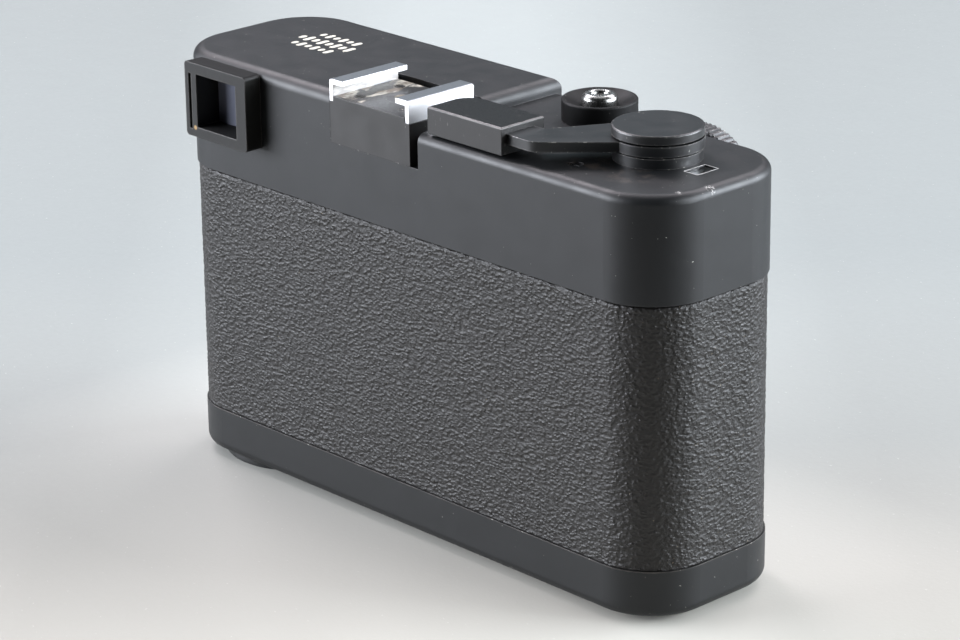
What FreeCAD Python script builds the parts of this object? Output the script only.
import FreeCAD, Part
import math
import os
from FreeCAD import Vector

os.makedirs("parts", exist_ok=True)

# Compact 35 mm rangefinder camera, in millimetres.
# +X is the eyepiece end, -X the lever end, +Y the back and -Y the lens side.
# The origin is the mouth of the tripod socket, in the plane that the camera rests on.

# Body outline
BODY_WIDTH = 121.0
BODY_DEPTH = 34.0
CORNER_RADIUS = 11.3
FOOT_HEIGHT = 1.2          # the base floats this far above the resting plane
BASE_TOP = 9.65            # top edge of the base strip
COVER_BOTTOM = 55.7        # lower edge of the top cover
DECK_Z = 74.1              # lever-end deck
RAISED_Z = 76.8            # raised housing over the finder
STEP_X = -5.5              # where the raised housing drops to the deck
SKIN = 1.2                 # thickness of the metal covers
LEATHER_INSET = 0.3
METAL_INSET = 1.0          # the leatherette lies between these two
INNER_INSET = METAL_INSET + SKIN
BACK_FACE = BODY_DEPTH / 2
FRONT_FACE = -BODY_DEPTH / 2
SEAM_X = 48.5              # the back cover's ends wrap round to here
CLEAR = 0.3                # gap between pieces that move past each other
RUNNING = 0.05             # radial clearance of a shaft in its hole
TOOL = 100.0               # longer than anything it cuts

# Chassis and film path
CHASSIS_BOTTOM = 6.0
CHASSIS_TOP = 58.0
FILM_PLANE_Y = 9.2
LENS_X = 5.0
LENS_Z = 34.0
TUNNEL_RADIUS = 22.3
TUNNEL_BACK_Y = 1.0
SHUTTER_Y = 5.0
CURTAIN = 0.3
ROLLER_RADIUS = 1.8
ROLLER_REACH = 17.5        # roller axes above and below the lens axis
CASSETTE_X = 44.5
CASSETTE_Y = 1.9
CASSETTE_RADIUS = 12.8
CHAMBER_TOP = 56.8
FILM_BOTTOM = 16.5
FILM_TOP = 51.5
SPROCKET_X = -24.5
SPROCKET_RADIUS = 6.05
SPROCKET_Y = FILM_PLANE_Y - SPROCKET_RADIUS
SPROCKET_TEETH = 8
SPROCKET_PIN = 1.5
ROLLER_PIN = 0.75
TAKE_UP_RADIUS = 11.8
BATTERY_X = -19.0
BATTERY_Y = -5.6
BATTERY_RADIUS = 7.8
BATTERY_Z = (7.2, 13.2)
METER_REACH = 19.5         # from the lens axis to the meter arm's pivot, and on to its cell
METER_ANGLE = 235.0        # where the pivot lies round the tunnel
METER_Y = (-3.0, -1.0)

# Advance lever stack and take-up spool, on one axis
LEVER_X = -42.9
LEVER_Y = -2.0
SHAFT_RADIUS = 3.0
COLLAR_RADIUS = 7.5
COLLAR_TOP = 75.9
ARM_RADIUS = 7.75
ARM_BOTTOM = 76.2
ARM_TOP = 77.95
CAP_RADIUS = 7.65
CAP_BOTTOM = 78.25
CAP_TOP = 79.75
TIP_X = (-25.5, -7.8)
TIP_Y = (6.8, 16.5)
TIP_Z = (74.5, 79.2)

# Deck fittings
RELEASE_X = -21.2
RELEASE_Y = -10.5
RELEASE_RADIUS = 6.5
RELEASE_TOP = 77.8
RELEASE_TUBE = 4.4
RELEASE_TUBE_BOTTOM = 66.0
BUTTON_RADIUS = 3.1
BUTTON_UNDERSIDE = 75.0
STEM_RADIUS = 1.5
COUNTER_X = (-54.2, -51.5)
COUNTER_Y = (-4.0, 0.6)
COUNTER_RADIUS = 12.0
SCREW_X = -36.3
SCREW_Y = 10.2
SCREW_RADIUS = 1.25

# Front fittings
DIAL_X = -37.0
DIAL_Z = 62.6
DIAL_RADIUS = 12.0
DIAL_SHAFT = 2.0
MOUNT_FACE_Y = FILM_PLANE_Y - 27.8     # flange to film distance
MOUNT_RING_RADIUS = 25.0
MOUNT_THROAT = 22.0
MOUNT_HUB = 23.6
UNLOCK_X = -23.5           # lens release button
UNLOCK_Z = 22.0
UNLOCK_STEM = 1.5
UNLOCK_BACK_Y = -6.0
WINDOWS = {
    "finder_window": ((35.5, 50.5), (63.7, 74.3)),
    "frameline_window": ((18.0, 31.0), (65.0, 72.5)),
    "rangefinder_window": ((9.0, 14.0), (66.3, 71.3)),
}

# Rangefinder arm, which feels the lens's cam at the top of the throat
ARM_PIVOT_X = 27.0
ARM_PIVOT_Y = -9.5
ARM_PIN = 1.5
ARM_BAR_Z = (58.6, 60.2)
ARM_SLOT_X = (1.5, 8.5)
ARM_SLOT_Y = (-13.5, -4.0)
FEELER_Z = (51.5, 54.0)

# Eyepiece and shoe
FRAME_X = (34.8, 51.4)
FRAME_Z = (62.6, 76.2)
FRAME_PROUD = 3.5
SIGHT_X = (37.5, 48.3)
SIGHT_Z = (64.5, 74.2)
SIGHT_WALL = 0.6
SHOE_X = (-3.6, 16.4)
SHOE_Y = (2.0, 16.9)
SHOE_FLOOR_END = 16.3
SHOE_TOP = 79.2
SHOE_FLOOR = 76.2
SHOE_PLATE = 0.9
SHOE_LIP = 3.3
NOTCH_X = (-5.8, 16.4)
NOTCH_FRONT = 1.0
NOTCH_BOTTOM = 67.9
PANEL_X = -3.8             # the shoe block's back panel starts here
CONTACT_SLEEVE = 2.6

# Base fittings
WELL_TOP = 5.6             # upper side of the wells that the rewind disc and the key sit in
WELL_WALL = 1.0
REWIND_RADIUS = 14.0
REWIND_DISC_TOP = 4.2
KEY_X = -46.5
KEY_Y = 0.0
KEY_RADIUS = 8.5
KEY_SHAFT = 2.5
SOCKET_RADIUS = 3.175      # quarter-inch tripod thread
SOCKET_TOP = 7.5
SOCKET_DEPTH = 6.5
SOCKET_BODY = 5.5
REWIND_BUTTON_X = -22.0
REWIND_BUTTON_Y = 4.0
REWIND_BUTTON = 2.0
CRANK_PIVOT_X = 34.5
CRANK_END_X = 55.0
CRANK_Z = 1.2
CRANK_WIDTH = 6.0
CRANK_THICKNESS = 1.8
CRANK_PIN = 0.4
KNOB_X = 51.5
KNOB_RADIUS = 2.5
WING_Z = 1.2
WING_PIN = 0.6
LUG_NECK = 1.5
UPPER_LUG_Z = 64.0
LOWER_LUG_Z = 5.4
PRESSURE_Y = 9.5
PRESSURE_TRAVEL = 1.0


def box(x_range, y_range, z_range):
    size = [high - low for low, high in (x_range, y_range, z_range)]
    return Part.makeBox(*size, Vector(x_range[0], y_range[0], z_range[0]))


def rod_z(radius, x, y, z_range):
    return Part.makeCylinder(radius, z_range[1] - z_range[0], Vector(x, y, z_range[0]))


def rod_y(radius, x, z, y_range):
    return Part.makeCylinder(radius, y_range[1] - y_range[0], Vector(x, y_range[0], z), Vector(0, 1, 0))


def rod_x(radius, y, z, x_range):
    return Part.makeCylinder(radius, x_range[1] - x_range[0], Vector(x_range[0], y, z), Vector(1, 0, 0))


def ring_z(outer, inner, x, y, z_range):
    return rod_z(outer, x, y, z_range).cut(rod_z(inner, x, y, z_range))


def ring_y(outer, inner, x, z, y_range):
    return rod_y(outer, x, z, y_range).cut(rod_y(inner, x, z, y_range))


def fuse(shapes):
    return shapes[0].fuse(shapes[1:]).removeSplitter()


def cut(shape, tools):
    for tool in tools:
        shape = shape.cut(tool)
    return shape


def pick_edges(shape, wanted):
    return [edge for edge in shape.Edges if wanted(edge.BoundBox)]


def is_vertical(span):
    return span.ZLength > span.XLength + span.YLength + 0.001


def is_level(span, height):
    return abs(span.ZMin - height) < 0.001 and abs(span.ZMax - height) < 0.001


def round_edges(shape, radius, wanted):
    return shape.makeFillet(radius, pick_edges(shape, wanted))


def outline(inset, z_range):
    """The camera's plan outline, pulled in all round by inset, as a block."""
    half_x = BODY_WIDTH / 2 - inset
    half_y = BODY_DEPTH / 2 - inset
    block = box((-half_x, half_x), (-half_y, half_y), z_range)
    return round_edges(block, CORNER_RADIUS - inset, is_vertical)


def skin_band(outer_inset, inner_inset, z_range):
    return outline(outer_inset, z_range).cut(outline(inner_inset, z_range))


def front_region(half_width):
    """The region in front of the seams, where the fixed front panel lies."""
    return box((-half_width, half_width), (-TOOL, FRONT_FACE / 2), (-TOOL, TOOL))


# Covers

def top_cover():
    raised_rounding = 2.0
    deck_rounding = 1.6
    counter_ledge = 0.5
    outside = outline(0, (COVER_BOTTOM, RAISED_Z))
    outside = outside.cut(box((-TOOL, STEP_X), (-TOOL, TOOL), (DECK_Z, TOOL)))
    outside = round_edges(outside, raised_rounding, lambda span: is_level(span, RAISED_Z))
    outside = round_edges(
        outside, deck_rounding, lambda span: is_level(span, DECK_Z) and span.XMin < STEP_X - 0.001)
    inside = outline(SKIN, (COVER_BOTTOM - 1, RAISED_Z - SKIN))
    inside = inside.cut(box((-TOOL, STEP_X + SKIN), (-TOOL, TOOL), (DECK_Z - SKIN, TOOL)))
    through_deck = (DECK_Z - 2 * SKIN, TOOL)
    through_front = (-TOOL, FRONT_FACE + 2 * SKIN)
    sight = box((SIGHT_X[0] - SIGHT_WALL, SIGHT_X[1] + SIGHT_WALL), (0, TOOL),
                (SIGHT_Z[0] - SIGHT_WALL, SIGHT_Z[1] + SIGHT_WALL))
    openings = [box((x0, x1), through_front, (z0, z1)) for (x0, x1), (z0, z1) in WINDOWS.values()]
    openings += [
        inside,
        box(NOTCH_X, (NOTCH_FRONT, TOOL), (NOTCH_BOTTOM, TOOL)),
        sight,
        rod_y(DIAL_SHAFT + RUNNING, DIAL_X, DIAL_Z, through_front),
        rod_y(MOUNT_HUB, LENS_X, LENS_Z, through_front),
        rod_z(RELEASE_TUBE, RELEASE_X, RELEASE_Y, through_deck),
        rod_z(SHAFT_RADIUS + counter_ledge, LEVER_X, LEVER_Y, through_deck),
        box(COUNTER_X, COUNTER_Y, through_deck),
        rod_z(SCREW_RADIUS + RUNNING, SCREW_X, SCREW_Y, through_deck),
    ]
    return cut(outside, openings)


def front_band(outer_inset, inner_inset):
    band = skin_band(outer_inset, inner_inset, (BASE_TOP + CLEAR, COVER_BOTTOM))
    band = band.common(front_region(SEAM_X - CLEAR))
    return cut(band, [
        rod_y(MOUNT_HUB, LENS_X, LENS_Z, (-TOOL, 0)),
        rod_y(UNLOCK_STEM + RUNNING, UNLOCK_X, UNLOCK_Z, (-TOOL, 0)),
    ])


def back_band(outer_inset, inner_inset, z_range):
    return skin_band(outer_inset, inner_inset, z_range).cut(front_region(SEAM_X))


def back_cover():
    band = back_band(METAL_INSET, INNER_INSET, (FOOT_HEIGHT + SKIN, COVER_BOTTOM - CLEAR))
    return band.cut(rod_z(REWIND_RADIUS + CLEAR + WELL_WALL, CASSETTE_X, CASSETTE_Y, (0, WELL_TOP)))


def back_leatherette():
    return back_band(LEATHER_INSET, METAL_INSET, (BASE_TOP, COVER_BOTTOM - CLEAR))


def base_plate():
    """A shallow tray with a well for the rewind disc and another for the lock key."""
    bottom_rounding = 1.8
    tray = outline(0, (FOOT_HEIGHT, BASE_TOP))
    tray = round_edges(tray, bottom_rounding, lambda span: is_level(span, FOOT_HEIGHT))
    tray = tray.cut(outline(METAL_INSET, (FOOT_HEIGHT + SKIN, TOOL)))
    wells = [
        (CASSETTE_X, CASSETTE_Y, REWIND_RADIUS + CLEAR, SHAFT_RADIUS),
        (KEY_X, KEY_Y, KEY_RADIUS + CLEAR, KEY_SHAFT),
    ]
    for x, y, radius, shaft in wells:
        cup = rod_z(radius + WELL_WALL, x, y, (FOOT_HEIGHT + SKIN / 2, WELL_TOP))
        tray = tray.fuse(cup.common(outline(METAL_INSET, (0, TOOL))))
        tray = tray.cut(rod_z(radius, x, y, (0, WELL_TOP - WELL_WALL)))
        tray = tray.cut(rod_z(shaft + RUNNING, x, y, (0, TOOL)))
    tray = tray.cut(rod_z(SOCKET_BODY, 0, 0, (0, TOOL)))
    tray = tray.cut(rod_z(REWIND_BUTTON + RUNNING, REWIND_BUTTON_X, REWIND_BUTTON_Y, (0, TOOL)))
    return tray.removeSplitter()


# Chassis and film path


def chassis():
    inset = 2.6
    tunnel_box = (38.0, 27.0)
    film_gate = (36.0, 24.0)
    shutter_width = 42.0
    shutter_room = ROLLER_RADIUS + 1.0
    sprocket_room = SPROCKET_RADIUS + 1.6
    above_sprocket = (FILM_BOTTOM - 2, CHAMBER_TOP)
    block = outline(inset, (CHASSIS_BOTTOM, CHASSIS_TOP))
    block = block.cut(box((-TOOL, TOOL), (FILM_PLANE_Y, TOOL), (0, TOOL)))
    front_pad = box((-SEAM_X + 1, SEAM_X - 1), (FRONT_FACE + INNER_INSET, 0), (BASE_TOP + CLEAR, COVER_BOTTOM))
    block = block.fuse(front_pad)
    tools = [
        rod_z(CASSETTE_RADIUS, CASSETTE_X, CASSETTE_Y, (0, CHAMBER_TOP)),
        box((CASSETTE_X - CASSETTE_RADIUS, TOOL), (CASSETTE_Y, TOOL), (0, CHAMBER_TOP)),
        rod_z(TAKE_UP_RADIUS, LEVER_X, LEVER_Y, (0, CHAMBER_TOP)),
        box((-TOOL, LEVER_X + TAKE_UP_RADIUS), (LEVER_Y, TOOL), (0, CHAMBER_TOP)),
        rod_z(sprocket_room, SPROCKET_X, SPROCKET_Y, above_sprocket),
        box((LEVER_X, SPROCKET_X + sprocket_room), (SPROCKET_Y, TOOL), above_sprocket),
        rod_z(SPROCKET_PIN + RUNNING, SPROCKET_X, SPROCKET_Y, (FILM_BOTTOM - 5, TOOL)),
        rod_y(TUNNEL_RADIUS, LENS_X, LENS_Z, (-TOOL, TUNNEL_BACK_Y)),
        centred_box(tunnel_box, (0, SHUTTER_Y)),
        centred_box(film_gate, (SHUTTER_Y, TOOL)),
        centred_box((shutter_width, 2 * (ROLLER_REACH + shutter_room)),
                    (SHUTTER_Y - shutter_room, SHUTTER_Y + shutter_room)),
        rod_z(SOCKET_BODY + 1.5, 0, 0, (0, SOCKET_TOP + 0.5)),
        rod_y(UNLOCK_STEM + RUNNING, UNLOCK_X, UNLOCK_Z, (-TOOL, UNLOCK_BACK_Y)),
        rod_z(SHAFT_RADIUS + RUNNING, LEVER_X, LEVER_Y, (0, TOOL)),
        rod_z(BATTERY_RADIUS, BATTERY_X, BATTERY_Y, (0, BATTERY_Z[1])),
        box(ARM_SLOT_X, ARM_SLOT_Y, (LENS_Z, TOOL)),
    ]
    pin_reach = shutter_width / 2 + 1.5
    for side in (-1, 1):
        pin_x = (LENS_X - pin_reach, LENS_X + pin_reach)
        tools.append(rod_x(ROLLER_PIN + RUNNING, SHUTTER_Y, LENS_Z + side * ROLLER_REACH, pin_x))
    arm_pin = rod_z(ARM_PIN, ARM_PIVOT_X, ARM_PIVOT_Y, (CHASSIS_TOP - 1, ARM_BAR_Z[1] + 0.6))
    meter_pin = rod_y(1.0, *meter_pivot(), (METER_Y[0], TUNNEL_BACK_Y + 1))
    return cut(block, tools).fuse([arm_pin, meter_pin]).removeSplitter()


def centred_box(size, y_range):
    """A box round the lens axis, of the given width and height."""
    width, height = size
    return box((LENS_X - width / 2, LENS_X + width / 2), y_range, (LENS_Z - height / 2, LENS_Z + height / 2))


def meter_pivot():
    angle = math.radians(METER_ANGLE)
    return LENS_X + METER_REACH * math.cos(angle), LENS_Z + METER_REACH * math.sin(angle)


def shutter_curtain(side):
    """One of the two cloth blinds, hung between the rollers on its own side of them."""
    width = 39.0
    height = 2 * ROLLER_REACH
    near = SHUTTER_Y + side * (ROLLER_RADIUS + CLEAR)
    far = near + side * CURTAIN
    return centred_box((width, height), (min(near, far), max(near, far)))


def shutter_roller(side):
    z = LENS_Z + side * ROLLER_REACH
    drum = rod_x(ROLLER_RADIUS, SHUTTER_Y, z, (LENS_X - 20, LENS_X + 20))
    pin = rod_x(ROLLER_PIN, SHUTTER_Y, z, (LENS_X - 22, LENS_X + 22))
    return drum.fuse(pin).removeSplitter()


def take_up_spool():
    slots = 4
    core = 7.2
    flange = 9.6
    flange_height = 1.2
    spool_bottom = 14.5
    spool_top = 56.4
    shape = fuse([
        rod_z(core, LEVER_X, LEVER_Y, (spool_bottom, spool_top)),
        rod_z(flange, LEVER_X, LEVER_Y, (spool_bottom, spool_bottom + flange_height)),
        rod_z(flange, LEVER_X, LEVER_Y, (spool_top - flange_height, spool_top)),
    ])
    slot = box((LEVER_X + 4, LEVER_X + TAKE_UP_RADIUS), (LEVER_Y - 0.7, LEVER_Y + 0.7), (20, 48))
    for index in range(slots):
        turned = slot.copy()
        turned.rotate(Vector(LEVER_X, LEVER_Y, 0), Vector(0, 0, 1), index * 360 / slots)
        shape = shape.cut(turned)
    return shape


def film_sprocket():
    tooth_reach = 1.1
    tooth_width = 1.6
    tooth_height = 1.4
    waist = 4.2
    perforation_inset = 2.8
    parts = [
        rod_z(waist, SPROCKET_X, SPROCKET_Y, (FILM_BOTTOM, FILM_TOP)),
        rod_z(SPROCKET_PIN, SPROCKET_X, SPROCKET_Y, (FILM_BOTTOM - 4, CHAMBER_TOP + 0.8)),
    ]
    for row_z in (FILM_BOTTOM + perforation_inset, FILM_TOP - perforation_inset):
        drum = (row_z - perforation_inset, row_z + perforation_inset)
        parts.append(rod_z(SPROCKET_RADIUS, SPROCKET_X, SPROCKET_Y, drum))
        tooth = box((SPROCKET_X, SPROCKET_X + SPROCKET_RADIUS + tooth_reach),
                    (SPROCKET_Y - tooth_width / 2, SPROCKET_Y + tooth_width / 2),
                    (row_z - tooth_height / 2, row_z + tooth_height / 2))
        for index in range(SPROCKET_TEETH):
            turned = tooth.copy()
            turned.rotate(Vector(SPROCKET_X, SPROCKET_Y, 0), Vector(0, 0, 1), index * 360 / SPROCKET_TEETH)
            parts.append(turned)
    return fuse(parts)


def battery():
    cell_radius = BATTERY_RADIUS - 0.1
    return rod_z(cell_radius, BATTERY_X, BATTERY_Y, BATTERY_Z)


def battery_cap():
    coin_slot = 1.2
    cap = rod_z(BATTERY_RADIUS, BATTERY_X, BATTERY_Y, (CHASSIS_BOTTOM, BATTERY_Z[0]))
    slot = box((BATTERY_X - 5, BATTERY_X + 5), (BATTERY_Y - coin_slot / 2, BATTERY_Y + coin_slot / 2),
               (CHASSIS_BOTTOM - 1, CHASSIS_BOTTOM + 0.7))
    return cap.cut(slot)


def meter_arm():
    """The arm that holds the light cell in the middle of the lens's beam, and drops it against the wall."""
    half_width = 1.2
    boss = 2.0
    pivot_x, pivot_z = meter_pivot()
    bar = box((pivot_x, pivot_x + METER_REACH), METER_Y, (pivot_z - half_width, pivot_z + half_width))
    bar.rotate(Vector(pivot_x, 0, pivot_z), Vector(0, 1, 0), 180 - METER_ANGLE)
    arm = bar.fuse([rod_y(boss, pivot_x, pivot_z, METER_Y), rod_y(2.6, LENS_X, LENS_Z, METER_Y)])
    return arm.cut(rod_y(1.0 + RUNNING, pivot_x, pivot_z, (-TOOL, TOOL))).removeSplitter()


def meter_cell():
    return rod_y(2.6, LENS_X, LENS_Z, (METER_Y[0] - 1.2, METER_Y[0]))


# Lens mount

def lens_mount():
    tabs = 4
    tab_span = 50
    tab_y = (MOUNT_FACE_Y + 2.0, MOUNT_FACE_Y + 3.2)
    tab_reach = 1.5
    hub_inner = 22.5
    ring = ring_y(MOUNT_RING_RADIUS, MOUNT_THROAT, LENS_X, LENS_Z, (MOUNT_FACE_Y, FRONT_FACE - 0.2))
    hub = ring_y(MOUNT_HUB, hub_inner, LENS_X, LENS_Z, (FRONT_FACE - 0.2, FRONT_FACE + INNER_INSET))
    parts = [ring, hub]
    for index in range(tabs):
        tab = Part.makeCylinder(hub_inner + 0.2, tab_y[1] - tab_y[0], Vector(LENS_X, tab_y[0], LENS_Z),
                                Vector(0, 1, 0), tab_span)
        tab.rotate(Vector(LENS_X, 0, LENS_Z), Vector(0, 1, 0), index * 360 / tabs)
        parts.append(tab.cut(rod_y(MOUNT_THROAT - tab_reach, LENS_X, LENS_Z, tab_y)))
    return cut(fuse(parts), mount_screw_rods(MOUNT_FACE_Y - 1, 0.9))


def mount_screw_rods(front_y, radius):
    count = 4
    circle = (MOUNT_RING_RADIUS + MOUNT_THROAT) / 2
    rods = []
    for index in range(count):
        angle = math.radians(45 + index * 360 / count)
        x = LENS_X + circle * math.cos(angle)
        z = LENS_Z + circle * math.sin(angle)
        rods.append(rod_y(radius, x, z, (front_y, FRONT_FACE - 0.2)))
    return rods


def lens_mount_screws():
    slot_width = 0.35
    screws = []
    for screw in mount_screw_rods(MOUNT_FACE_Y + 0.1, 0.9):
        centre = screw.CenterOfMass
        slot = box((centre.x - 2, centre.x + 2), (MOUNT_FACE_Y, MOUNT_FACE_Y + 0.5),
                   (centre.z - slot_width / 2, centre.z + slot_width / 2))
        screws.append(screw.cut(slot))
    return Part.makeCompound(screws)


def lens_release_button():
    head = (3.2, -20.4, -18.4)
    radius, front_y, back_y = head
    cap = round_edges(rod_y(radius, UNLOCK_X, UNLOCK_Z, (front_y, back_y)), 0.5,
                      lambda span: span.YLength < 0.001 and span.YMin < front_y + 0.1)
    stem = rod_y(UNLOCK_STEM, UNLOCK_X, UNLOCK_Z, (back_y, UNLOCK_BACK_Y - 1.6))
    return cap.fuse(stem)


# Front dial

def speed_dial():
    flutes = 40
    flute_radius = 0.45
    back_y = FRONT_FACE - CLEAR
    rim_y = back_y - 3.2
    face_y = rim_y - 1.8
    recess = (6.4, 1.2)
    rim = rod_y(DIAL_RADIUS, DIAL_X, DIAL_Z, (rim_y, back_y))
    cone = Part.makeCone(DIAL_RADIUS - 2.2, DIAL_RADIUS, rim_y - face_y, Vector(DIAL_X, face_y, DIAL_Z),
                         Vector(0, 1, 0))
    shaft = rod_y(DIAL_SHAFT, DIAL_X, DIAL_Z, (back_y, -8))
    tools = [rod_y(recess[0], DIAL_X, DIAL_Z, (face_y - 1, face_y + recess[1])),
             rod_y(1.5 + RUNNING, DIAL_X, DIAL_Z, (face_y - 1, back_y - 0.5))]
    for index in range(flutes):
        angle = 2 * math.pi * index / flutes
        x = DIAL_X + DIAL_RADIUS * math.cos(angle)
        z = DIAL_Z + DIAL_RADIUS * math.sin(angle)
        tools.append(rod_y(flute_radius, x, z, (rim_y, back_y)))
    return cut(fuse([rim, cone, shaft]), tools)


def film_speed_disc():
    face_y = FRONT_FACE - CLEAR - 5.0
    disc = rod_y(6.1, DIAL_X, DIAL_Z, (face_y - 0.3, face_y + 0.9))
    disc = round_edges(disc, 0.3, lambda span: span.YLength < 0.001 and span.YMin < face_y)
    pin = rod_y(1.5, DIAL_X, DIAL_Z, (face_y + 0.9, face_y + 3.5))
    grip = box((DIAL_X - 4.5, DIAL_X + 4.5), (face_y - 1.0, face_y - 0.3), (DIAL_Z - 0.7, DIAL_Z + 0.7))
    return disc.fuse([pin, grip]).removeSplitter()


# Finder and rangefinder

def window_glass(name):
    x_range, z_range = WINDOWS[name]
    recess = 0.3
    return box(x_range, (FRONT_FACE + recess, FRONT_FACE + SKIN), z_range)


def eyepiece_frame():
    corner = 0.7
    inner_y = 9.0
    groove_x = (49.7, 50.4)    # guide for a clip-on eyesight lens
    groove_z = (64.0, 74.1)
    groove_depth = 0.6
    plate = box(FRAME_X, (BACK_FACE, BACK_FACE + FRAME_PROUD), FRAME_Z)
    plate = round_edges(plate, corner, lambda span: span.YLength > 1)
    tube = box((SIGHT_X[0] - SIGHT_WALL, SIGHT_X[1] + SIGHT_WALL), (inner_y, BACK_FACE),
               (SIGHT_Z[0] - SIGHT_WALL, SIGHT_Z[1] + SIGHT_WALL))
    groove = box(groove_x, (BACK_FACE + FRAME_PROUD - groove_depth, TOOL), groove_z)
    return plate.fuse(tube).cut(box(SIGHT_X, (0, TOOL), SIGHT_Z)).cut(groove).removeSplitter()


def eyepiece_lens():
    return box(SIGHT_X, (14.0, 15.5), SIGHT_Z)


def finder_bracket():
    """The shelf that carries the finder block over the rangefinder arm."""
    shelf_z = (62.0, SIGHT_Z[0])
    shelf = box((33.0, 52.0), (-13.0, 8.0), shelf_z)
    posts = [rod_z(1.5, x, y, (CHASSIS_TOP, shelf_z[0])) for x in (35.5, 49.5) for y in (-6.0, 5.0)]
    return shelf.fuse(posts)


def finder_block():
    """The glass block with the half-silvered surface that brings the second image in."""
    return box(SIGHT_X, (-11.0, 1.0), SIGHT_Z)


def rangefinder_arm():
    """The swinging arm: its finger feels the lens, and its post carries the moving mirror."""
    half_width = 2.5
    finger_x = LENS_X
    mirror_x = 11.5
    bar = box((finger_x - 2, ARM_PIVOT_X + half_width), (ARM_PIVOT_Y - half_width, ARM_PIVOT_Y + half_width),
              ARM_BAR_Z)
    finger = rod_z(0.8, finger_x, ARM_PIVOT_Y, (FEELER_Z[0] - 0.6, ARM_BAR_Z[0]))
    foot = rod_z(1.3, finger_x, ARM_PIVOT_Y, (FEELER_Z[0] - 1.2, FEELER_Z[0] - CLEAR))
    collar = rod_z(1.3, finger_x, ARM_PIVOT_Y, (FEELER_Z[1] + CLEAR, FEELER_Z[1] + 1))
    post = rod_z(1.2, mirror_x, ARM_PIVOT_Y, (ARM_BAR_Z[1], 66.3))
    arm = bar.fuse([finger, foot, collar, post])
    return arm.cut(rod_z(ARM_PIN + RUNNING, ARM_PIVOT_X, ARM_PIVOT_Y, (0, TOOL))).removeSplitter()


def rangefinder_roller():
    return ring_z(2.2, 0.8 + RUNNING, LENS_X, ARM_PIVOT_Y, FEELER_Z)


def rangefinder_mirror():
    prism = box((9.2, 13.8), (ARM_PIVOT_Y - 2.3, ARM_PIVOT_Y + 2.3), (66.3, 71.0))
    return prism


# Accessory shoe

def shoe_block():
    """Black block under the shoe, with the panel that closes the notch in the top cover's back."""
    plate_bottom = SHOE_FLOOR - SHOE_PLATE
    block = box((PANEL_X, NOTCH_X[1]), (NOTCH_FRONT, BACK_FACE), (NOTCH_BOTTOM, plate_bottom))
    closer = box((NOTCH_X[0], PANEL_X), (NOTCH_FRONT, BACK_FACE - 2.5), (NOTCH_BOTTOM, DECK_Z - SKIN))
    block = block.fuse(closer)
    core = box((PANEL_X + SKIN, NOTCH_X[1] - SKIN), (NOTCH_FRONT + SKIN, BACK_FACE - SKIN),
               (0, plate_bottom - SKIN))
    contact_hole = rod_z(CONTACT_SLEEVE, shoe_centre_x(), shoe_centre_y(), (0, TOOL))
    block = block.fuse(panel_rim())
    return cut(block, [core, contact_hole] + shoe_screw_rods(1.0, 0)).removeSplitter()


def panel_rim():
    """The top of the back panel, which rises between the rails' ends to the shoe's floor."""
    return box((SHOE_X[0] + SHOE_PLATE, SHOE_X[1] - SHOE_PLATE), (SHOE_FLOOR_END, BACK_FACE),
               (SHOE_FLOOR - SHOE_PLATE, SHOE_FLOOR))


def shoe_centre_x():
    return (SHOE_X[0] + SHOE_X[1]) / 2


def shoe_centre_y():
    return (SHOE_Y[0] + SHOE_Y[1]) / 2


def shoe_screw_rods(radius, top_above_floor):
    reach_x = 5.5
    reach_y = 4.5
    z_range = (SHOE_FLOOR - 3.5, SHOE_FLOOR + top_above_floor)
    return [rod_z(radius, shoe_centre_x() + side_x * reach_x, shoe_centre_y() + side_y * reach_y, z_range)
            for side_x in (-1, 1) for side_y in (-1, 1)]


def accessory_shoe():
    left, right = SHOE_X
    plate_bottom = SHOE_FLOOR - SHOE_PLATE
    outside = box(SHOE_X, SHOE_Y, (plate_bottom, SHOE_TOP))
    outside = round_edges(outside, 0.5, lambda span: is_level(span, SHOE_TOP) and span.YLength > 1)
    channel = box((left + SHOE_PLATE, right - SHOE_PLATE), (0, TOOL), (SHOE_FLOOR, SHOE_TOP - SHOE_PLATE))
    mouth = box((left + SHOE_LIP, right - SHOE_LIP), (0, TOOL), (SHOE_FLOOR, TOOL))
    hole = rod_z(CONTACT_SLEEVE, shoe_centre_x(), shoe_centre_y(), (0, TOOL))
    return cut(outside, [channel, mouth, hole, panel_rim()] + shoe_screw_rods(1.0, 1))


def shoe_insulator():
    return ring_z(CONTACT_SLEEVE, 1.2, shoe_centre_x(), shoe_centre_y(), (SHOE_FLOOR - 3, SHOE_FLOOR))


def shoe_contact():
    pin = rod_z(1.2, shoe_centre_x(), shoe_centre_y(), (SHOE_FLOOR - 3, SHOE_FLOOR + 0.3))
    return round_edges(pin, 0.25, lambda span: is_level(span, SHOE_FLOOR + 0.3))


def shoe_screws():
    screws = []
    for screw in shoe_screw_rods(1.0, 0):
        centre = screw.CenterOfMass
        slot = box((centre.x - 2, centre.x + 2), (centre.y - 0.15, centre.y + 0.15), (SHOE_FLOOR - 0.4, TOOL))
        screws.append(screw.cut(slot))
    return Part.makeCompound(screws)


# Advance lever

def lever_collar():
    return ring_z(COLLAR_RADIUS, SHAFT_RADIUS + RUNNING, LEVER_X, LEVER_Y, (DECK_Z, COLLAR_TOP))


def lever_shaft():
    return rod_z(SHAFT_RADIUS, LEVER_X, LEVER_Y, (CHASSIS_TOP - 1.1, CAP_BOTTOM))


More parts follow.
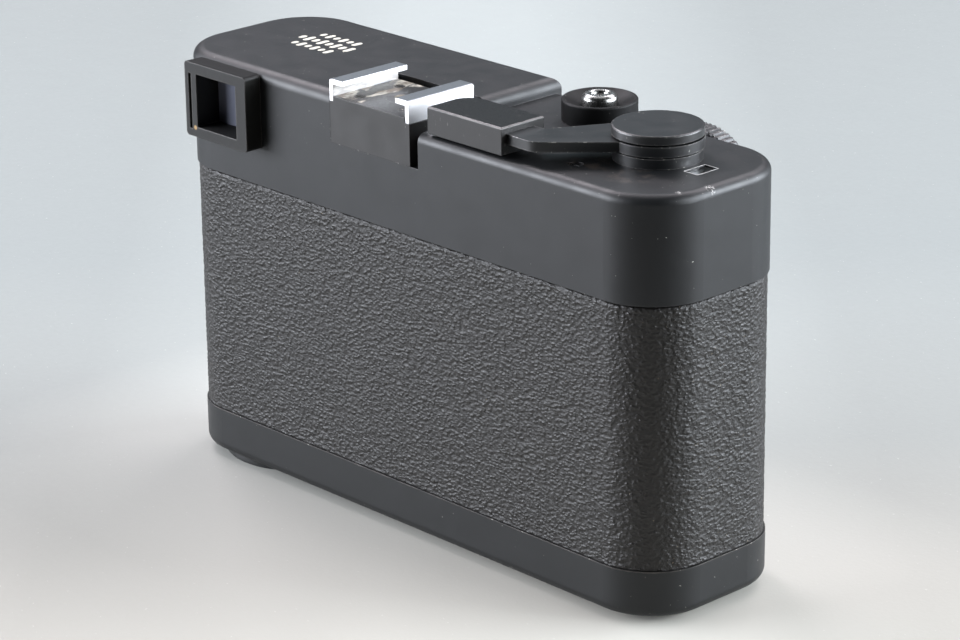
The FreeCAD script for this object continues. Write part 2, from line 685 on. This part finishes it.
def lever_arm():
    """A flat plate: a round boss on the shaft and a wedge that runs back to the tip."""
    nose_radius = 3.2
    arm_z = (ARM_BOTTOM, ARM_TOP)
    corners = [(-46.0, 1.5), (-31.6, 15.5), (-22.5, 15.2), (-22.5, 9.2), (-27.8, 8.8), (-36.2, -5.8)]
    points = [Vector(x, y, arm_z[0]) for x, y in corners]
    face = Part.Face(Part.makePolygon(points + points[:1]))
    wedge = face.extrude(Vector(0, 0, arm_z[1] - arm_z[0]))
    nose = corners[1]
    wedge = round_edges(wedge, nose_radius, lambda span: is_vertical(span) and
                        abs(span.XMin - nose[0]) < 0.01 and abs(span.YMin - nose[1]) < 0.01)
    arm = wedge.fuse(rod_z(ARM_RADIUS, LEVER_X, LEVER_Y, arm_z))
    return arm.cut(rod_z(SHAFT_RADIUS, LEVER_X, LEVER_Y, arm_z)).removeSplitter()


def lever_tip():
    far_corner = 4.0
    edge = 0.35
    undercut = (2.5, 4.5)
    block = box(TIP_X, TIP_Y, TIP_Z)
    block = round_edges(block, far_corner, lambda span: is_vertical(span) and span.XMin > TIP_X[1] - 0.1
                        and span.YMax < TIP_Y[0] + 0.1)
    block = round_edges(block, edge, lambda span: is_level(span, TIP_Z[1]))
    low_front = box((TIP_X[0], TIP_X[0] + undercut[0]), (TIP_Y[0], TIP_Y[0] + undercut[1]), (TIP_Z[0], ARM_BOTTOM))
    return cut(block, [low_front, lever_arm()]).removeSplitter()


def lever_cap():
    edge = 0.3
    cap = rod_z(CAP_RADIUS, LEVER_X, LEVER_Y, (CAP_BOTTOM, CAP_TOP))
    return round_edges(cap, edge, lambda span: is_level(span, CAP_TOP))


def counter_disc():
    disc_z = (71.4, 72.2)
    hub_z = (69.4, 72.2)
    bore = SHAFT_RADIUS + RUNNING
    disc = ring_z(COUNTER_RADIUS, bore, LEVER_X, LEVER_Y, disc_z)
    return disc.fuse(ring_z(5.0, bore, LEVER_X, LEVER_Y, hub_z)).removeSplitter()


def counter_window():
    return box(COUNTER_X, COUNTER_Y, (DECK_Z - SKIN, DECK_Z - 0.1))


def deck_screw():
    slot_width = 0.35
    head = rod_z(SCREW_RADIUS, SCREW_X, SCREW_Y, (DECK_Z - SKIN, DECK_Z - 0.25))
    slot = box((SCREW_X - 2, SCREW_X + 2), (SCREW_Y - slot_width / 2, SCREW_Y + slot_width / 2),
               (DECK_Z - 0.7, TOOL))
    return head.cut(slot)


# Shutter release

def release_collar():
    """The dished collar on the deck, with the tube below it that holds the button and its spring."""
    rim_width = 0.5
    dish_depth = 1.3
    dish = Part.makeCone(BUTTON_RADIUS + RUNNING, RELEASE_RADIUS - rim_width, dish_depth,
                         Vector(RELEASE_X, RELEASE_Y, RELEASE_TOP - dish_depth))
    collar = rod_z(RELEASE_RADIUS, RELEASE_X, RELEASE_Y, (DECK_Z, RELEASE_TOP))
    collar = round_edges(collar, 0.3, lambda span: is_level(span, RELEASE_TOP))
    tube = rod_z(RELEASE_TUBE, RELEASE_X, RELEASE_Y, (RELEASE_TUBE_BOTTOM, DECK_Z))
    bore = rod_z(BUTTON_RADIUS + RUNNING, RELEASE_X, RELEASE_Y, (RELEASE_TUBE_BOTTOM + 1, TOOL))
    stem_hole = rod_z(STEM_RADIUS + RUNNING, RELEASE_X, RELEASE_Y, (0, TOOL))
    return cut(collar.fuse(tube), [dish, bore, stem_hole]).removeSplitter()


def shutter_button():
    top_z = 78.7
    dome = 1.1
    cable_hole = (1.45, 3.3)
    head = rod_z(BUTTON_RADIUS, RELEASE_X, RELEASE_Y, (BUTTON_UNDERSIDE, top_z))
    head = round_edges(head, dome, lambda span: is_level(span, top_z))
    stem = rod_z(STEM_RADIUS, RELEASE_X, RELEASE_Y, (RELEASE_TUBE_BOTTOM - 1.5, BUTTON_UNDERSIDE))
    hole = rod_z(cable_hole[0], RELEASE_X, RELEASE_Y, (top_z - cable_hole[1], top_z))
    return head.fuse(stem).cut(hole).removeSplitter()


def shutter_spring():
    wire = 0.22
    coil_radius = 2.2
    turns = 5
    low = RELEASE_TUBE_BOTTOM + 1 + wire + 0.03
    high = BUTTON_UNDERSIDE - wire - 0.03
    helix = Part.makeHelix((high - low) / turns, high - low, coil_radius)
    helix.translate(Vector(RELEASE_X, RELEASE_Y, low))
    section = Part.Wire(Part.makeCircle(wire, helix.Vertexes[0].Point, Vector(0, 1, 0)))
    return Part.Wire(helix.Edges).makePipeShell([section], True, True)


# Fittings of the back and base

def strap_lug(z):
    """A mushroom stud on the eyepiece end, for a strap or its split ring."""
    end_x = BODY_WIDTH / 2
    neck = rod_x(LUG_NECK, 0, z, (end_x, end_x + 2.2))
    head = rod_x(2.6, 0, z, (end_x + 2.2, end_x + 3.4))
    head = round_edges(head, 0.4, lambda span: span.XLength < 0.001)
    washer = rod_x(3.0, 0, z, (end_x, end_x + 0.5))
    return neck.fuse([head, washer]).removeSplitter()


def tripod_socket():
    flange_radius = 8.0
    flange = rod_z(flange_radius, 0, 0, (0, FOOT_HEIGHT))
    flange = round_edges(flange, 0.4, lambda span: is_level(span, 0))
    body = rod_z(SOCKET_BODY, 0, 0, (FOOT_HEIGHT, SOCKET_TOP))
    return flange.fuse(body).cut(rod_z(SOCKET_RADIUS, 0, 0, (-1, SOCKET_DEPTH))).removeSplitter()


def pressure_plate():
    plate = centred_box((42.0, 30.0), (PRESSURE_Y, PRESSURE_Y + 1.0))
    return round_edges(plate, 1.5, lambda span: span.YLength > 0.9 and span.XLength < 0.001)


def pressure_springs():
    """Two bowed leaves fixed inside the back, short of the plate by its travel."""
    inner_y = BACK_FACE - INNER_INSET
    leaves = []
    for side in (-1, 1):
        z = LENS_Z + side * 8
        low = PRESSURE_Y + 1.0 + PRESSURE_TRAVEL + 0.2
        points = [Vector(LENS_X - 14, inner_y, z - 2), Vector(LENS_X, low, z - 2), Vector(LENS_X + 14, inner_y, z - 2)]
        top = Part.Arc(*points).toShape()
        thick = Vector(0, 0.3, 0)
        inner = top.copy()
        inner.translate(thick)
        edges = [top, Part.makeLine(points[2], points[2] + thick), inner,
                 Part.makeLine(points[0], points[0] + thick)]
        leaf = Part.Face(Part.Wire(Part.__sortEdges__(edges))).extrude(Vector(0, 0, 4))
        leaves.append(leaf.common(box((-TOOL, TOOL), (0, inner_y), (0, TOOL))))
    return Part.makeCompound(leaves)


# Rewind

def rewind_disc():
    """Disc in the base with a slot for the folded crank and a pocket for its knob."""
    disc = rod_z(REWIND_RADIUS, CASSETTE_X, CASSETTE_Y, (0, REWIND_DISC_TOP))
    disc = round_edges(disc, 0.4, lambda span: is_level(span, 0))
    half_slot = CRANK_WIDTH / 2 + CLEAR
    slot = box((-TOOL, CRANK_END_X + CLEAR), (CASSETTE_Y - half_slot, CASSETTE_Y + half_slot),
               (-1, CRANK_Z + CRANK_THICKNESS / 2 + 0.4))
    pocket = rod_z(KNOB_RADIUS + 0.7, KNOB_X, CASSETTE_Y, (-1, REWIND_DISC_TOP - 0.6))
    axle = rod_y(CRANK_PIN, CRANK_PIVOT_X, CRANK_Z, (CASSETTE_Y - half_slot - 0.5, CASSETTE_Y + half_slot + 0.5))
    return cut(disc, [slot, pocket]).fuse(axle).removeSplitter()


def rewind_crank():
    """The arm lies in the disc's slot, and its knob in the pocket, until it is folded out."""
    boss = rod_y(CRANK_THICKNESS / 2, CRANK_PIVOT_X, CRANK_Z,
                 (CASSETTE_Y - CRANK_WIDTH / 2, CASSETTE_Y + CRANK_WIDTH / 2))
    arm = box((CRANK_PIVOT_X, CRANK_END_X), (CASSETTE_Y - CRANK_WIDTH / 2, CASSETTE_Y + CRANK_WIDTH / 2),
              (CRANK_Z - CRANK_THICKNESS / 2, CRANK_Z + CRANK_THICKNESS / 2))
    arm = round_edges(arm, 2.5, lambda span: is_vertical(span) and span.XMin > CRANK_END_X - 0.1)
    bore = rod_y(CRANK_PIN + RUNNING, CRANK_PIVOT_X, CRANK_Z, (-TOOL, TOOL))
    return arm.fuse(boss).cut(bore).removeSplitter()


def rewind_knob():
    knob_z = (CRANK_Z + CRANK_THICKNESS / 2, REWIND_DISC_TOP - 0.9)
    return rod_z(KNOB_RADIUS, KNOB_X, CASSETTE_Y, knob_z)


def rewind_fork():
    """The shaft through the base and the fork that turns the cassette's spool."""
    fork_top = 15.0
    gap_half = 0.8
    gap_depth = 4.0
    shaft = rod_z(SHAFT_RADIUS, CASSETTE_X, CASSETTE_Y, (REWIND_DISC_TOP, fork_top))
    gap = box((CASSETTE_X - gap_half, CASSETTE_X + gap_half), (-TOOL, TOOL), (fork_top - gap_depth, TOOL))
    return shaft.cut(gap)


def rewind_release_button():
    floor_top = FOOT_HEIGHT + SKIN + RUNNING
    flange = rod_z(REWIND_BUTTON + 0.8, REWIND_BUTTON_X, REWIND_BUTTON_Y, (floor_top, floor_top + 0.6))
    pin = rod_z(REWIND_BUTTON, REWIND_BUTTON_X, REWIND_BUTTON_Y, (0.5, FOOT_HEIGHT + SKIN + 1.2))
    dimple = Part.makeSphere(3.0, Vector(REWIND_BUTTON_X, REWIND_BUTTON_Y, -2.1))
    return pin.fuse(flange).cut(dimple).removeSplitter()


# Back lock

def back_lock_key():
    disc = rod_z(KEY_RADIUS, KEY_X, KEY_Y, (0, WELL_TOP - WELL_WALL - CLEAR))
    disc = round_edges(disc, 0.4, lambda span: is_level(span, 0))
    shaft = rod_z(KEY_SHAFT, KEY_X, KEY_Y, (WELL_TOP - WELL_WALL - CLEAR - 0.1, WELL_TOP + 0.3))
    slot = box((KEY_X - 6.3, KEY_X + 6.3), (KEY_Y - 1.6, KEY_Y + 6.3), (-1, WING_Z + 1.2))
    axle = rod_x(WING_PIN, KEY_Y, WING_Z, (KEY_X - 6.8, KEY_X + 6.8))
    cam_z = (WELL_TOP + CLEAR, WELL_TOP + 1.5)
    cam = rod_z(5.0, KEY_X, KEY_Y, cam_z).fuse(box((KEY_X - 2.0, KEY_X + 2.0), (KEY_Y, KEY_Y + 8.0), cam_z))
    return disc.fuse([shaft, cam]).cut(slot).fuse(axle).removeSplitter()


def back_lock_wing():
    """The half ring that lies in the key's recess and folds down to be turned."""
    half_thick = 0.8
    wing_z = (WING_Z - half_thick, WING_Z + half_thick)
    outer = rod_z(6.0, KEY_X, KEY_Y, wing_z).cut(rod_z(3.2, KEY_X, KEY_Y, wing_z))
    outer = outer.common(box((-TOOL, TOOL), (KEY_Y, TOOL), (-TOOL, TOOL)))
    hinge = rod_x(1.1, KEY_Y, WING_Z, (KEY_X - 6.0, KEY_X + 6.0))
    return outer.fuse(hinge).cut(rod_x(WING_PIN + RUNNING, KEY_Y, WING_Z, (-TOOL, TOOL))).removeSplitter()


NODES = {
    "chassis": chassis(),
    "front_plate": front_band(METAL_INSET, INNER_INSET),
    "front_leatherette": front_band(LEATHER_INSET, METAL_INSET),
    "top_cover": top_cover(),
    "eyepiece_frame": eyepiece_frame(),
    "eyepiece_lens": eyepiece_lens(),
    "finder_window": window_glass("finder_window"),
    "frameline_window": window_glass("frameline_window"),
    "rangefinder_window": window_glass("rangefinder_window"),
    "finder_bracket": finder_bracket(),
    "finder_block": finder_block(),
    "accessory_shoe": accessory_shoe(),
    "shoe_block": shoe_block(),
    "shoe_insulator": shoe_insulator(),
    "shoe_contact": shoe_contact(),
    "shoe_screws": shoe_screws(),
    "lens_mount": lens_mount(),
    "lens_mount_screws": lens_mount_screws(),
    "lens_release_button": lens_release_button(),
    "shutter_curtain_front": shutter_curtain(-1),
    "shutter_curtain_rear": shutter_curtain(1),
    "shutter_roller_lower": shutter_roller(-1),
    "shutter_roller_upper": shutter_roller(1),
    "take_up_spool": take_up_spool(),
    "film_sprocket": film_sprocket(),
    "battery": battery(),
    "battery_cap": battery_cap(),
    "meter_arm": meter_arm(),
    "meter_cell": meter_cell(),
    "speed_dial": speed_dial(),
    "film_speed_disc": film_speed_disc(),
    "rangefinder_arm": rangefinder_arm(),
    "rangefinder_roller": rangefinder_roller(),
    "rangefinder_mirror": rangefinder_mirror(),
    "lever_collar": lever_collar(),
    "lever_shaft": lever_shaft(),
    "lever_arm": lever_arm(),
    "lever_tip": lever_tip(),
    "lever_cap": lever_cap(),
    "counter_disc": counter_disc(),
    "counter_window": counter_window(),
    "deck_screw": deck_screw(),
    "release_collar": release_collar(),
    "shutter_button": shutter_button(),
    "shutter_spring": shutter_spring(),
    "strap_lug_upper": strap_lug(UPPER_LUG_Z),
    "strap_lug_lower": strap_lug(LOWER_LUG_Z),
    "back_cover": back_cover(),
    "back_leatherette": back_leatherette(),
    "base_plate": base_plate(),
    "tripod_socket": tripod_socket(),
    "pressure_plate": pressure_plate(),
    "pressure_springs": pressure_springs(),
    "rewind_disc": rewind_disc(),
    "rewind_crank": rewind_crank(),
    "rewind_knob": rewind_knob(),
    "rewind_fork": rewind_fork(),
    "rewind_release_button": rewind_release_button(),
    "back_lock_key": back_lock_key(),
    "back_lock_wing": back_lock_wing(),
}

for name, shape in NODES.items():
    shape.exportStep("parts/" + name + ".step")
